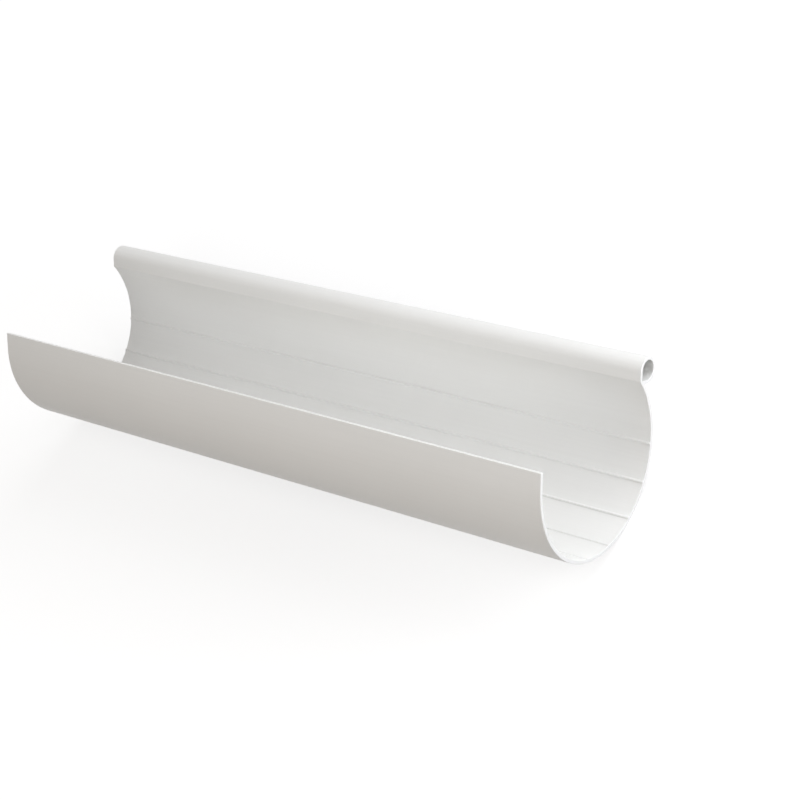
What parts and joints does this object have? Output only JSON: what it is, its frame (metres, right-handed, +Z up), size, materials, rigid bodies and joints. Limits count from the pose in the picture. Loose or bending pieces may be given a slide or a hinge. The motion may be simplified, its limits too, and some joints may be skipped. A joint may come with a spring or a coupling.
{
  "type": "half-round gutter section",
  "caption": "Length of half-round rainwater gutter in white extruded uPVC, with a plain back edge, a hollow rolled bead along the front edge and fine ribs inside.",
  "frame": {"origin": "on the floor, below the middle of the box of the gutter as it lies at rest", "axes": "+X along the gutter, +Y across it towards the beaded edge, +Z up from the floor; the trough lies rolled towards its bead, with its mouth up"},
  "size_m": [0.465, 0.1416, 0.1116],
  "materials": {
    "white_upvc": "smooth white uPVC with a low sheen and faint extrusion lines along its length"
  },
  "bodies": {
    "root": {"gutter_section": "white_upvc"}
  },
  "joints": []
}
